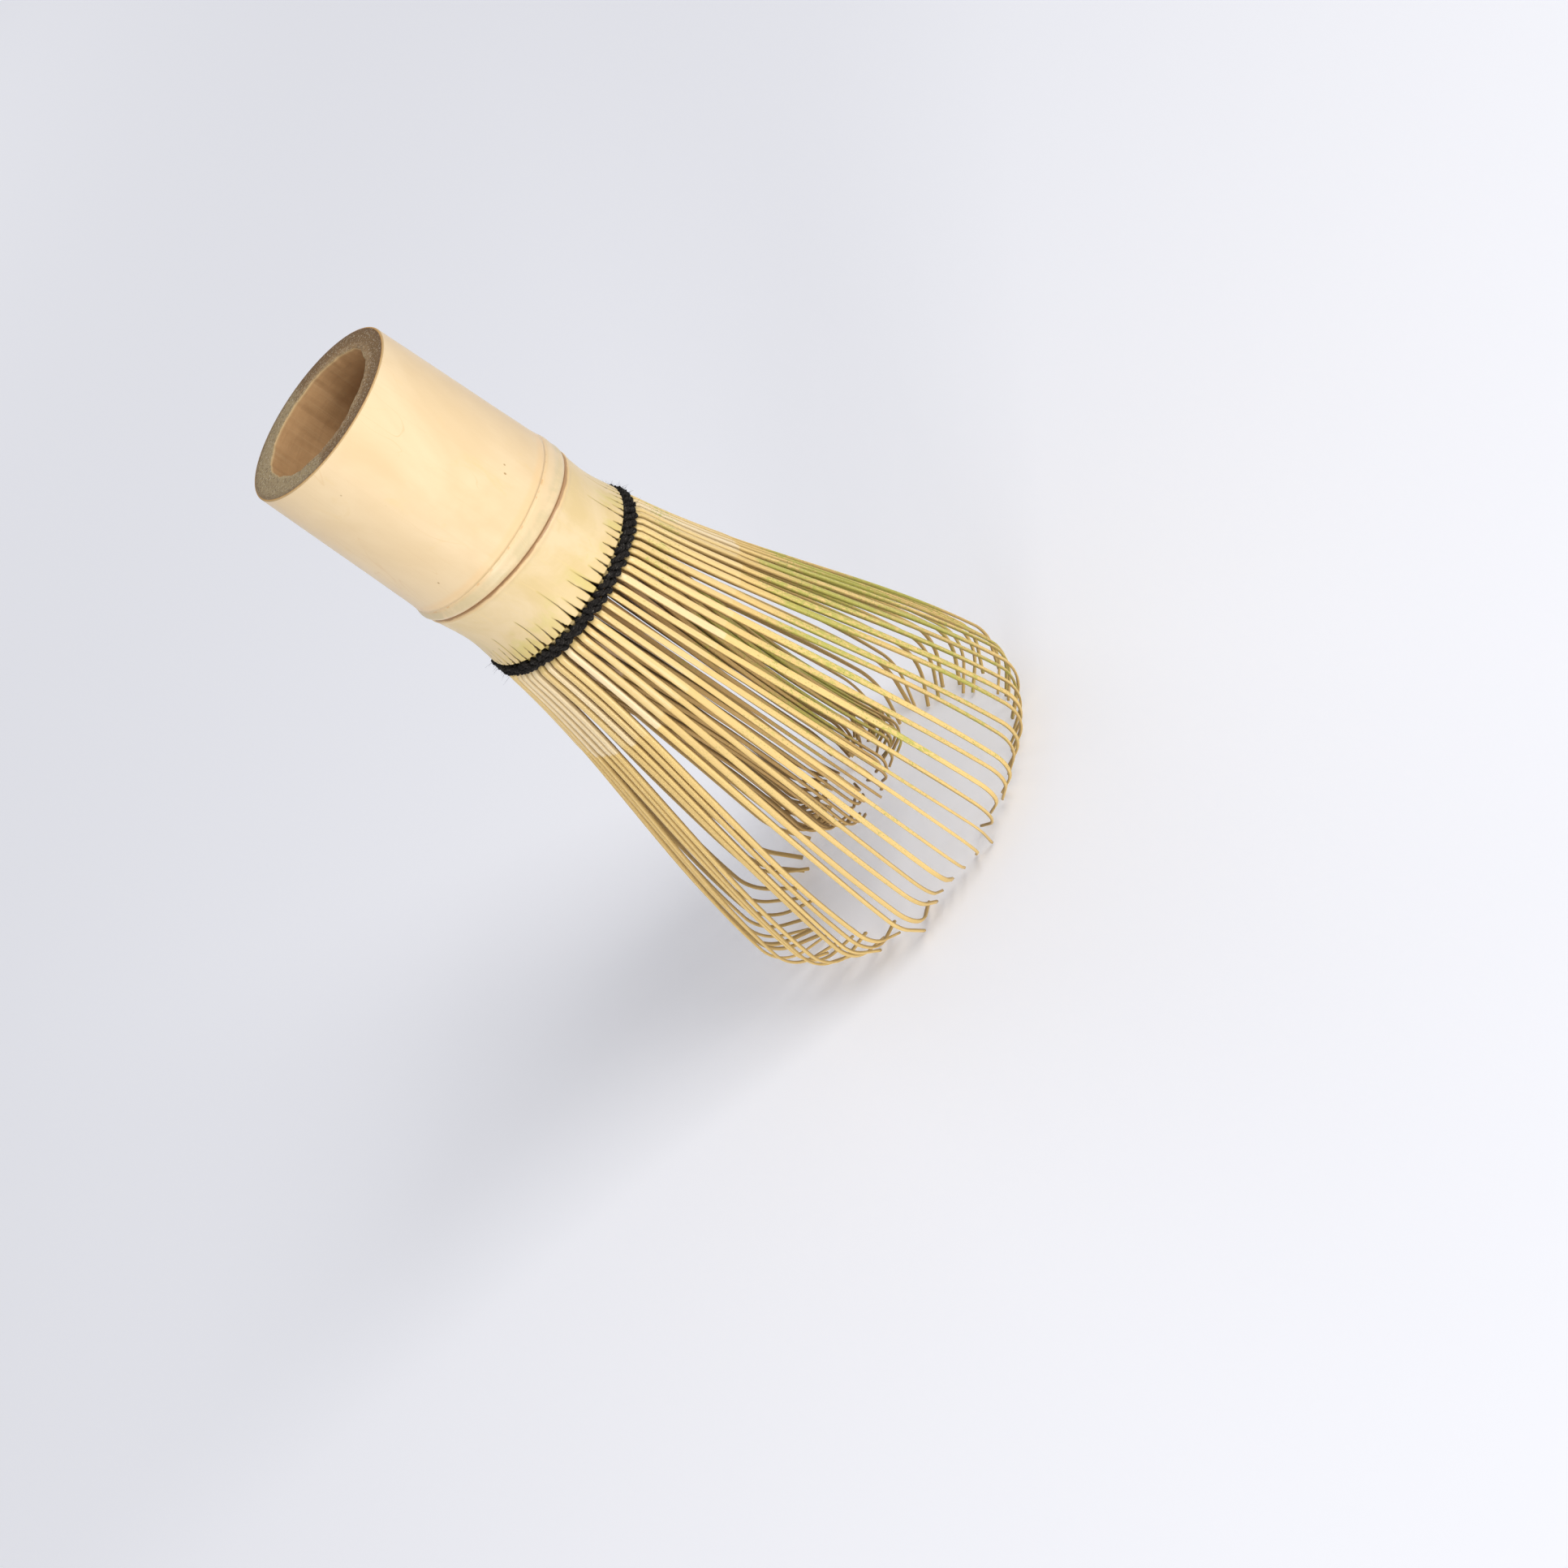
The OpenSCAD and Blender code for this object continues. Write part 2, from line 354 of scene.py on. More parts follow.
def culm_skin():
    """Glossy honey skin with fine fibres along the culm, and faint blotches, veins and
    specks. It has a worn brown edge at the rim, and at the node a greenish band that is
    partly painted shade under the ridge's bulge, a dotted line and the dark leaf scar with a
    halo."""
    material, tree, shader = new_material("culm_skin")
    fibres = object_noise(tree, (2600, 2600, 55), detail=4)
    clouds = object_noise(tree, (70, 70, 45), detail=4, twist=0.6)
    patches = object_noise(tree, (190, 190, 120), detail=5, rough=0.65, twist=1.2)
    drop = drop_below_rim(tree)
    cloudy = rise(tree, clouds, 0.3, 0.72)
    colour = mixed(tree, cloudy, (0.715, 0.512, 0.26), (0.8, 0.61, 0.355))
    colour = tinted(tree, colour, rise(tree, fibres, 0.5, 0.85), 0.4, (0.72, 0.51, 0.26))
    colour = tinted(tree, colour, rise(tree, patches, 0.56, 0.75), 0.4, (0.74, 0.52, 0.21))
    winding = object_noise(tree, (150, 150, 42), detail=2, twist=0.8)
    veins = times(tree, band(tree, winding, 0.5, 0.001, 0.006), 0.4)
    veins = times(tree, veins, rise(tree, clouds, 0.5, 0.62))
    colour = mixed(tree, veins, colour, (0.66, 0.4, 0.14))
    specks = rise(tree, spots(tree, (420, 420, 300)), 0.09, 0.04)
    rare = rise(tree, object_noise(tree, (130, 130, 130)), 0.55, 0.62)
    colour = mixed(tree, times(tree, specks, rare), colour, (0.42, 0.25, 0.08))
    below = below_scar(tree, drop, patches)
    # Painted shade, in part: a greenish band just above the scar, darker than the skin, stands for
    # the shade under the ridge's bulge as well as for a green tint.
    green = times(tree, band(tree, below, -1.1, 0.5, 1.1), rise(tree, patches, 0.25, 0.6))
    colour = tinted(tree, colour, green, 0.5, (0.53, 0.44, 0.22))
    warm = band(tree, drop, GRIP_H - 0.5, 0.35, 0.9)
    colour = tinted(tree, colour, warm, 0.35, (0.8, 0.5, 0.2))
    dots = rise(tree, object_noise(tree, (900, 900, 300), detail=1), 0.52, 0.6)
    line = times(tree, band(tree, drop, STEP_DROP, 0.03, 0.14), dots)
    colour = tinted(tree, colour, line, 0.5, (0.62, 0.3, 0.08))
    colour = mixed(tree, band(tree, below, 0.0, 0.18, 0.16), colour, SCAR_BROWN)
    halo = band(tree, below, 0.25, 0.2, 0.8)
    colour = tinted(tree, colour, halo, 0.4, (0.72, 0.42, 0.19))
    colour = tinted(tree, colour, rise(tree, drop, 0.26, 0.1), 0.8, (0.66, 0.36, 0.11))
    tree.links.new(colour, shader.inputs["Base Color"])
    shine(shader, 0.45, coat=0.7, coat_roughness=0.4)
    raised(tree, shader, fibres, 0.05, 0.35)
    return material


def end_grain():
    """Sawn culm wall: sandy grey, full of dark fibre bundles that are small and crowded
    towards the skin. Wet hands have stained the +X side of it dark brown."""
    material, tree, shader = new_material("end_grain")
    radius = radius_from_axis(tree)
    blots = object_noise(tree, (260, 260, 260), detail=4, rough=0.65)
    towards_x = times(tree, object_axis(tree, 0), 0.97 / RIM_R / MM)
    towards_y = times(tree, object_axis(tree, 1), 0.26 / RIM_R / MM)
    held = plus(tree, minus(tree, towards_x, towards_y), times(tree, blots, 0.5))
    held = rise(tree, held, -0.02, 0.16)
    deep = rise(tree, radius, 11.0, 11.9)
    brown = mixed(tree, deep, (0.31, 0.195, 0.092), (0.22, 0.13, 0.056))
    colour = mixed(tree, held, (0.36, 0.268, 0.142), brown)
    wide = rise(tree, spots(tree, (1500, 1500, 1500)), 0.42, 0.24)
    tight = rise(tree, spots(tree, (2900, 2900, 2900)), 0.5, 0.3)
    bundles = mixed(tree, rise(tree, radius, 10.4, 13.6), wide, tight)
    colour = tinted(tree, colour, bundles, 0.45, (0.13, 0.08, 0.04))
    grain = object_noise(tree, (3400, 3400, 3400), detail=2, rough=0.7)
    colour = tinted(tree, colour, rise(tree, grain, 0.54, 0.66), 0.65, (0.6, 0.5, 0.35))
    crowd = rise(tree, radius, 12.9, 13.6)
    colour = tinted(tree, colour, crowd, 0.4, (0.17, 0.1, 0.055))
    lip = rise(tree, radius, 10.6, 10.3)
    colour = tinted(tree, colour, lip, 0.4, (0.5, 0.38, 0.2))
    colour = mixed(tree, rise(tree, radius, 13.78, 13.84), colour, (0.6, 0.33, 0.11))
    tree.links.new(colour, shader.inputs["Base Color"])
    shine(shader, 0.82, specular=0.2)
    raised(tree, shader, plus(tree, bundles, grain), 0.08, 0.8)
    return material


def culm_bore():
    """Dull brown hollow with soft rings across it and fibres along it, paler at its lip."""
    material, tree, shader = new_material("culm_bore")
    rings = object_noise(tree, (120, 120, 800), detail=5, rough=0.65, twist=0.6)
    fibres = object_noise(tree, (1600, 1600, 60), detail=3)
    clouds = object_noise(tree, (330, 330, 420), detail=5, rough=0.65)
    colour = mixed(tree, rise(tree, clouds, 0.2, 0.8), (0.43, 0.245, 0.106), (0.52, 0.308, 0.14))
    colour = tinted(tree, colour, rise(tree, rings, 0.5, 0.75), 0.45, (0.33, 0.18, 0.08))
    colour = tinted(tree, colour, rise(tree, fibres, 0.55, 0.8), 0.35, (0.62, 0.42, 0.22))
    lip = rise(tree, drop_below_rim(tree), 0.45, 0.15)
    colour = tinted(tree, colour, lip, 0.6, (0.6, 0.44, 0.22))
    tree.links.new(colour, shader.inputs["Base Color"])
    shine(shader, 0.72, specular=0.3)
    raised(tree, shader, plus(tree, rings, fibres), 0.12, 0.6)
    return material


def collar_skin():
    """Pared cream bamboo with fibres along it, the lower edge of the leaf scar, faint green
    stains by the thread, and splits painted brown at their fine ends and near black where
    they open, as painted shade inside them. Their half-open width in millimetres is stored
    at each point."""
    material, tree, shader = new_material("collar_skin")
    drop = drop_below_rim(tree)
    fibres = object_noise(tree, (2400, 2400, 60), detail=4)
    clouds = object_noise(tree, (120, 120, 90), detail=4, twist=0.8)
    colour = mixed(tree, rise(tree, clouds, 0.35, 0.68), (0.69, 0.51, 0.23), (0.76, 0.585, 0.33))
    colour = tinted(tree, colour, rise(tree, fibres, 0.52, 0.8), 0.5, (0.8, 0.6, 0.27))
    stain = object_noise(tree, (260, 260, 110), detail=4, rough=0.6, twist=1.0)
    green = times(tree, rise(tree, stain, 0.49, 0.67), rise(tree, drop, 35.5, 41.5))
    colour = tinted(tree, colour, green, 0.65, (0.6, 0.52, 0.12))
    colour = tinted(tree, colour, rise(tree, drop, 38.5, 42.4), 0.45, (0.72, 0.51, 0.18))
    below = below_scar(tree, drop, stain)
    colour = mixed(tree, band(tree, below, 0, 0.2, 0.16), colour, SCAR_BROWN)
    colour = tinted(tree, colour, rise(tree, below, 1.1, 0.1), 0.45, (0.76, 0.47, 0.22))
    # Painted shade: the splits are painted brown at their fine ends, partly a stain, and near
    # black where they open, for the shade inside the cracks. The yellow-green edge along them is a
    # stain.
    opening = stored(tree, "split_half_width")
    colour = tinted(tree, colour, rise(tree, opening, -0.2, 0.0), 0.55, (0.58, 0.42, 0.1))
    colour = mixed(tree, rise(tree, opening, -0.04, 0.01), colour, (0.15, 0.085, 0.02))
    colour = mixed(tree, rise(tree, opening, 0.03, 0.1), colour, (0.02, 0.012, 0.004))
    tree.links.new(colour, shader.inputs["Base Color"])
    shine(shader, 0.5, coat=0.5, coat_roughness=0.42)
    raised(tree, shader, fibres, 0.06, 0.4)
    return material


def pith():
    """The septum's dull, felted face."""
    material, tree, shader = new_material("culm_pith")
    felt = object_noise(tree, (1400, 1400, 1400), detail=4)
    clouds = object_noise(tree, (180, 180, 180), detail=3)
    colour = mixed(tree, clouds, (0.4, 0.24, 0.11), (0.62, 0.45, 0.25))
    colour = mixed(tree, rise(tree, felt, 0.5, 0.75), colour, (0.72, 0.56, 0.34))
    tree.links.new(colour, shader.inputs["Base Color"])
    shine(shader, 0.85, specular=0.2)
    raised(tree, shader, felt, 0.2, 0.7)
    return material


def tine_bamboo(name, skin, pared, side):
    """A tine: skin on its face down to the shaving line, pared fibre below, raw sides and back
    painted dark brown, partly as painted shade, and tea stains. Its own unbent place, tone,
    rawness, stain and drop are stored at each point."""
    material, tree, shader = new_material(name)
    tone = stored(tree, "tone")
    raw = stored(tree, "raw")
    stain = stored(tree, "stain")
    fibres = own_noise(tree, (9, 0.22, 9), detail=4)
    flecks = own_noise(tree, (3, 1.1, 3), detail=3, rough=0.7)
    ragged_drop = plus(tree, stored(tree, "drop"), tone)
    below = rise(tree, ragged_drop, SHAVING_DROP + 0.35, SHAVING_DROP + 0.75)
    pale = tuple(0.45 + 0.55 * channel for channel in skin)
    colour = mixed(tree, times(tree, rise(tree, tone, 0.3, 0.05), 0.45), skin, pale)
    colour = mixed(tree, below, colour, pared)
    darker = tuple(0.8 * channel for channel in pared)
    colour = tinted(tree, colour, rise(tree, fibres, 0.5, 0.78), 0.55, darker)
    colour = tinted(tree, colour, tone, 0.22, side)
    # Painted shade, in part: the raw sides and back are tinted far darker than bare bamboo, for
    # the shade between and behind the tines.
    colour = tinted(tree, colour, raw, 0.85, side)
    taken = plus(tree, stain, times(tree, raw, 0.06))
    blotch = plus(tree, taken, times(tree, flecks, 0.9))
    colour = tinted(tree, colour, rise(tree, blotch, 0.88, 1.12), 0.75, (0.4, 0.42, 0.06))
    grains = own_noise(tree, (5, 3.2, 5), detail=2, rough=0.7)
    speck = times(tree, rise(tree, grains, 0.6, 0.68), rise(tree, stain, 0.12, 0.5))
    colour = tinted(tree, colour, speck, 0.75, (0.2, 0.23, 0.03))
    tree.links.new(colour, shader.inputs["Base Color"])
    rough = node(tree, "ShaderNodeMapRange", {"Value": below, "To Min": 0.3, "To Max": 0.55})
    tree.links.new(rough.outputs[0], shader.inputs["Roughness"])
    shader.inputs["Specular IOR Level"].default_value = 0.5
    raised(tree, shader, fibres, 0.04, 0.5)
    return material


def cotton():
    """Black cotton yarn: matt, with fibres that follow the twist and a faint sheen."""
    material, tree, shader = new_material("black_cotton")
    fibres = own_noise(tree, (2.6, 6, 6), detail=4, rough=0.7)
    colour = mixed(tree, rise(tree, fibres, 0.4, 0.7), (0.008, 0.0065, 0.006), (0.04, 0.035, 0.03))
    lint = own_noise(tree, (5, 5, 5), detail=2, rough=0.7)
    colour = mixed(tree, rise(tree, lint, 0.62, 0.7), colour, (0.12, 0.11, 0.095))
    tree.links.new(colour, shader.inputs["Base Color"])
    shine(shader, 0.95, specular=0.08)
    shader.inputs["Sheen Weight"].default_value = 0.04
    shader.inputs["Sheen Roughness"].default_value = 0.5
    raised(tree, shader, fibres, 0.08, 0.8)
    return material


SKIN = culm_skin()
END_GRAIN = end_grain()
BORE = culm_bore()
COLLAR = collar_skin()
PITH = pith()
# Painted shade, in part: each third colour, for the raw sides and back, is a dark brown that
# stands for their shade as well as for raw bamboo.
OUTER = tine_bamboo("outer_tine", (0.87, 0.63, 0.258), (0.84, 0.585, 0.208), (0.38, 0.24, 0.08))
# Painted shade, in part: the inner tines' colours are darker than the outer ones because the
# bundle lies in shade inside the bell.
INNER = tine_bamboo("inner_tine", (0.68, 0.43, 0.17), (0.62, 0.4, 0.14), (0.28, 0.165, 0.055))
COTTON = cotton()


# --- The culm: grip, node and collar ------------------------------------------------

SKIN_PROFILE = [
    (0, 14.0), (12, 14.3), (24, 14.6), (27.6, 14.74), (29.2, 14.95), (30.6, 14.8),
    (32.4, 14.62), (34.4, 14.42), (36.5, 14.3), (38.4, 14.38), (40.4, 14.64), (42.4, 14.95),
]
CULM_COLS = 240
COLLAR_COLS_EACH = 12
CRACK_HALF_W = 0.075
CRACK_SLANT = 6
CRACK_DEPTH = 1.4


def scar_drop(around):
    """The leaf scar's drop: a plane that slopes down towards +X."""
    return SCAR_DROP + SCAR_SLOPE * np.cos(around)


def skin_radius(drop, around):
    """The culm's outer radius: the profile, slightly out of round, with a fine groove at
    the top of the ridge, and a deeper one along the leaf scar between two low lips."""
    radius = smooth_through(SKIN_PROFILE, drop)
    radius = radius + 0.05 * np.cos(2 * around + 0.6) + 0.025 * np.cos(3 * around)
    radius = radius - 0.07 * bump(drop, STEP_DROP, 0.2)
    off = drop - scar_drop(around)
    rough = 0.12 * np.sin(9 * around + 2) + 0.08 * np.sin(23 * around) + 0.05 * np.sin(41 * around)
    lip = 0.16 * bump(off, -0.75, 0.55) + 0.12 * bump(off, 0.55, 0.3) * (1 + rough)
    return radius - 0.34 * bump(off, 0, 0.24) + lip


def hollow_ripple(around, drop):
    """How far the hollow's wall strays from round, more at its lip than deep inside."""
    wave = 0.15 * np.sin(3 * around + 1) + 0.12 * np.sin(7 * around) + 0.07 * np.sin(12 * around)
    fine = 0.06 * np.sin(19 * around + 2) + 0.04 * np.sin(31 * around) + 0.03 * np.sin(47 * around)
    return (wave + fine) * (0.45 + 0.55 * np.exp(-drop / 4))


def shell(name, radius, around, drop, materials, finish, facts=None):
    """A ring-shaped piece from grids of radius and drop. Its outline closes on itself, and
    finish gives the material of each row of faces."""
    rows, cols = np.broadcast_shapes(radius.shape, drop.shape)
    points = placed(radius, around, drop)
    quads = grid_faces(rows, cols, wrap_rows=True)
    return make_mesh(name, points, quads, materials, (), np.repeat(finish, cols), facts)


def grip():
    """The upper culm: skin, sawn rim with worn edges, and the hollow with a wavy wall."""
    around = np.linspace(0, TURN, CULM_COLS, endpoint=False)[None, :]
    skin = np.linspace(RIM_WEAR, GRIP_H, 60)[:, None]
    outer = skin_radius(skin, around)
    edge_turn = np.linspace(0, math.pi / 2, 6)[:-1, None]
    edge_drop = RIM_WEAR * (1 - np.cos(edge_turn))
    wall_drop = np.linspace(GRIP_H, LIP_WEAR, 40)[:, None]
    wall = BORE_R + hollow_ripple(around, wall_drop)
    lip_turn = np.linspace(0, math.pi / 2, 5)[1:, None]
    lip = BORE_R + hollow_ripple(around, 0 * lip_turn) + 0.25 * (1 - np.cos(lip_turn))
    lip_drop = LIP_WEAR - LIP_WEAR * np.sin(lip_turn)
    rim_share = np.linspace(0, 1, 12)[1:-1, None]
    rim = lip[-1:] + (RIM_R - RIM_WEAR - lip[-1:]) * rim_share
    edge = RIM_R - RIM_WEAR + (outer[:1] - RIM_R + RIM_WEAR) * np.sin(edge_turn)
    radius = np.concatenate([outer, wall, lip, rim, edge])
    drop = np.concatenate([skin, wall_drop, lip_drop, 0 * rim_share, edge_drop])
    drop = drop * np.ones_like(around)
    finish = np.zeros(len(radius), int)
    finish[len(skin):] = 2
    start = len(skin) + len(wall) + len(lip)
    finish[start - 3:start + len(rim) + 2] = 1
    piece = shell("grip_culm", radius, around, drop, (SKIN, END_GRAIN, BORE), finish)
    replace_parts(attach(piece, "root"), "grip")


def node_ridge():
    """The ring of culm between the grip and the leaf scar, with a ledge inside it that
    the septum lies on."""
    around = np.linspace(0, TURN, CULM_COLS, endpoint=False)[None, :]
    share = np.linspace(0, 1, 36)[:, None]
    outer_drop = GRIP_H + (scar_drop(around) - GRIP_H) * share
    outer = skin_radius(outer_drop, around)
    back = share[::-6]
    inner_drop = GRIP_H + (scar_drop(around) - GRIP_H) * back
    inner = np.where(back > 0.5, NODE_BORE_R, SEPTUM_R + 0.1) + 0 * around
    radius = np.concatenate([outer, inner])
    drop = np.concatenate([outer_drop, inner_drop])
    finish = np.zeros(len(radius), int)
    finish[len(outer):] = 1
    piece = shell("node_ridge_culm", radius, around, drop, (SKIN, BORE), finish)
    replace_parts(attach(piece, "root"), "node_ridge")


def split_tops():
    """Where each split ends above the thread: most of every fourth one, and a few others,
    run far up the collar, and the rest are short."""
    tops = SEAT_DROP - rng.uniform(1.5, 4.2, TINES)
    deep = np.arange(TINES) % TINES_EACH == TINES_EACH // 2 - 1
    deep = deep & (rng.random(TINES) < 0.75) | (rng.random(TINES) < 0.06)
    return np.where(deep, SEAT_DROP - rng.uniform(4.6, 7.2, TINES), tops)


def collar():
    """The split ring from the leaf scar to the thread's seat. Each split narrows from the
    thread to a point, and is a groove whose depth grows with its width. The splits are in
    line with the middles of the outer tines."""
    cols = TINES * COLLAR_COLS_EACH
    around = (np.arange(cols) / cols * TURN)[None, :]
    share = np.linspace(0, 1, 76)[:, None]
    outer_drop = scar_drop(around) + (COLLAR_FOOT - scar_drop(around)) * share
    outer = skin_radius(outer_drop, around)
    seat = ease(outer_drop, SEAT_DROP - 0.15, SEAT_DROP + 0.2)
    outer = outer + (SEAT_R - outer) * seat
    gap = np.floor(around / TINE_STEP).astype(int)
    tops = split_tops()[gap]
    wander = rng.uniform(-0.09, 0.09, TINES)[gap] * np.clip(COLLAR_FOOT - outer_drop, 0, 4)
    off = (around / TINE_STEP - gap - 0.5) * TINE_STEP * outer + wander
    above = SEAT_DROP - outer_drop
    left = (outer_drop - tops) / (SEAT_DROP - tops)
    crack = np.where(left > 0, CRACK_HALF_W * np.clip(left, 0, 1) ** 0.5, left * 2)
    notch = (0.13 + 0.15 * np.sin(2.4 * gap) ** 2) * np.exp(-np.clip(above, 0, 20) / 0.75)
    split = crack + notch - np.abs(off)
    outer = outer - np.clip(split * CRACK_SLANT, 0, CRACK_DEPTH)
    inner_share = share[::-15]
    inner_drop = scar_drop(around) + (COLLAR_FOOT - scar_drop(around)) * inner_share
    inner = COLLAR_BORE_R + 0.04 * np.sin(5 * around) + 0 * inner_share
    radius = np.concatenate([outer, inner])
    drop = np.concatenate([outer_drop, inner_drop])
    width = np.concatenate([split, np.full_like(inner, -1.0)])
    finish = np.zeros(len(radius), int)
    finish[len(outer):] = 1
    facts = {"split_half_width": width}
    piece = shell("collar_culm", radius, around, drop, (COLLAR, BORE), finish, facts)
    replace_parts(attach(piece, "root"), "collar")


def septum():
    """The culm's own diaphragm: a disc that sags towards its middle, with low rings."""
    rings = 26
    cols = 96
    around = np.linspace(0, TURN, cols, endpoint=False)[None, :]
    share = np.linspace(0.02, 1, rings)[:, None]
    sag = 0.9 * (1 - share ** 2) + 0.07 * np.sin(share * 34) + 0.04 * np.sin(6 * around) * share
    top = np.clip(sag, 0, SEPTUM_T - 0.5)
    radius = np.concatenate([share, share[::-1]]) * SEPTUM_R + 0 * around
    drop = GRIP_H + np.concatenate([top, np.full((rings, cols), SEPTUM_T)])
    quads = grid_faces(2 * rings, cols)
    caps = [list(range(cols))[::-1], list(range((2 * rings - 1) * cols, 2 * rings * cols))]
    piece = make_mesh("septum_disc", placed(radius, around, drop), quads, (PITH,), caps)
    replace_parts(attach(piece, "root"), "septum")


grip()
node_ridge()
septum()
collar()


# --- Tines --------------------------------------------------------------------------

OUTER_W = 0.95
OUTER_T = 1.0
OUTER_HOOK_R = 6.5
OUTER_LEAN = math.radians(5)
OUTER_TIP = 4.0
FLOOR_GAP = 0.35
INNER_W = 0.7
INNER_T = 0.85
INNER_HOOK_R = 3.5
INNER_LEAN = math.radians(7)
INNER_TIP = 2.0


def cubic(values, t):
    """A cubic curve from its first value to its last, drawn towards the two between."""
    a, b, c, d = values
    return a * (1 - t) ** 3 + 3 * b * t * (1 - t) ** 2 + 3 * c * t * t * (1 - t) + d * t ** 3


def tine_line(radii, top, bottom, hook_r, lean, bend, tip_l, counts):
    """The middle of a tine's face, for many tines at once, as radius and drop: a cubic
    curve from top to bottom, an arc round the hook, and a straight tip. The counts are
    the steps in each. The bend and the bottom may differ from tine to tine."""
    curve, hook, tip = counts
    t = np.linspace(0, 1, curve)[None, :]
    lower_r = cubic(radii, t) + 0 * bottom
    lower_d = top + (bottom - top) * t
    a = -lean + (bend + lean) * np.linspace(0, 1, hook + 1)[None, 1:]
    centre_r = radii[3] - hook_r * math.cos(lean)
    centre_d = bottom + hook_r * math.sin(lean)
    hook_rs = centre_r + hook_r * np.cos(a)
    hook_ds = centre_d + hook_r * np.sin(a)
    out = tip_l * np.linspace(0, 1, tip + 1)[None, 1:]
    tip_rs = hook_rs[:, -1:] - out * np.sin(bend)
    tip_ds = hook_ds[:, -1:] + out * np.cos(bend)
    return np.hstack([lower_r, hook_rs, tip_rs]), np.hstack([lower_d, hook_ds, tip_ds])


# The section of a tine, point by point: its share of half the width, its share of the
# thickness, and how raw the bamboo is there, which also sets how much painted shade the
# sides and back get.
SECTION_SIDE = np.array([-1, -0.8, -0.4, 0, 0.4, 0.8, 1, 0.97, 0.86, 0.4, -0.4, -0.86, -0.97])
SECTION_DEPTH = np.array([0.16, 0.04, 0.0, -0.02, 0.0, 0.04, 0.16, 0.5, 1, 1.04, 1.04, 1, 0.5])
SECTION_RAW = np.array([0.3, 0.0, 0, 0, 0, 0.0, 0.3, 0.55, 0.9, 1, 1, 0.9, 0.55])


def tine_points(radius, drop, around, sideways, width, thick, twist):
    """Points of many tines, each a section carried along its line. Radius and drop are
    grids of tine by step; the section's face looks outwards, and its sides close in."""
    path = placed(radius, around, drop)
    along = np.gradient(path, axis=1)
    along = along / np.linalg.norm(along, axis=2, keepdims=True)
    side = placed(1, around + math.pi / 2, WHISK_H)
    face = np.cross(along, side)
    turned_side = side * np.cos(twist)[..., None] + face * np.sin(twist)[..., None]
    turned_face = face * np.cos(twist)[..., None] - side * np.sin(twist)[..., None]
    path = path + side * sideways[..., None]
    across = SECTION_SIDE * width[..., None] / 2
    depth = SECTION_DEPTH * thick[..., None]
    points = path[:, :, None] + turned_side[:, :, None] * across[..., None]
    points = points - turned_face[:, :, None] * depth[..., None]
    return points, across, depth


def tine_pieces(stem, body_stem, material, points, facts):
    """One piece for each segment, made of its own separate tines."""
    steps, ring = points.shape[1:3]
    one = grid_faces(steps, ring)
    for segment in range(SEGMENTS):
        chosen = slice(segment * TINES_EACH, (segment + 1) * TINES_EACH)
        quads = np.concatenate([one + k * steps * ring for k in range(TINES_EACH)])
        ends = []
        for k in range(TINES_EACH):
            first = k * steps * ring
            last = first + (steps - 1) * ring
            ends += [list(range(first, first + ring))[::-1], list(range(last, last + ring))]
        own_facts = {fact: values[chosen] for fact, values in facts.items()}
        name = f"{stem}_{segment + 1:02d}"
        piece = make_mesh(name, points[chosen], quads, (material,), ends, None, own_facts)
        node_name = f"{body_stem}_{segment + 1:02d}"
        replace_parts(piece, node_name)
        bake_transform(piece)


def spread(values, ring):
    """A value for each tine and step, given to every point of the section."""
    return np.repeat(values[..., None], ring, axis=2)


def stain_field(around, drop, seed):
    """How much tea a place has taken up: some below the thread, and more from STAIN_DROP
    down. It is most on the side that leans into the bowl, in slow blotches that run along
    the tines."""
    side = 0.5 + 0.5 * np.cos(around + 0.25)
    start = ease(drop + 2 * seed, STAIN_DROP, STAIN_DROP + 7) + 0.75 * bump(drop, 49, 6)
    end = 1 - 0.3 * ease(drop, 90, 108)
    waves = 0.5 + 0.5 * np.sin(drop * 0.24 + 4 * seed) * np.cos(around * 5 + seed)
    return start * end * (0.1 + 0.32 * side ** 1.5 + 0.32 * waves * (0.35 + 0.65 * side))


def tine_facts(around, drop, across, depth, tone, seed):
    """What a tine's material reads at each point: its own unbent place in millimetres,
    its tone, how raw the surface is, its stain, and its drop."""
    drops = spread(drop, across.shape[2])
    tones = tone[:, None, None]
    own = np.stack([across + 40 * tones, drops + 90 * tones, depth + 17 * tones], -1)
    return {
        "own": own,
        "tone": np.broadcast_to(tones, across.shape),
        "raw": np.broadcast_to(SECTION_RAW, across.shape),
        "stain": spread(stain_field(around, drop, seed[:, None]), across.shape[2]),
        "drop": drops,
    }


def clump_pull(share):
    """How many tine pitches each tine lies from the middle of its clump. Within a segment,
    each tine sticks to the next one by chance, and a clump ends where one doesn't."""
    stuck = rng.random((SEGMENTS, TINES_EACH - 1)) < share
    clump = np.cumsum(np.hstack([np.ones((SEGMENTS, 1)), ~stuck]).ravel()).astype(int)
    place = np.arange(TINES)
    middle = np.bincount(clump, place) / np.maximum(np.bincount(clump), 1)
    return middle[clump] - place


def each(draw, *numbers):
    """A random number for each tine, drawn in a column."""
    return draw(*numbers, (TINES, 1))


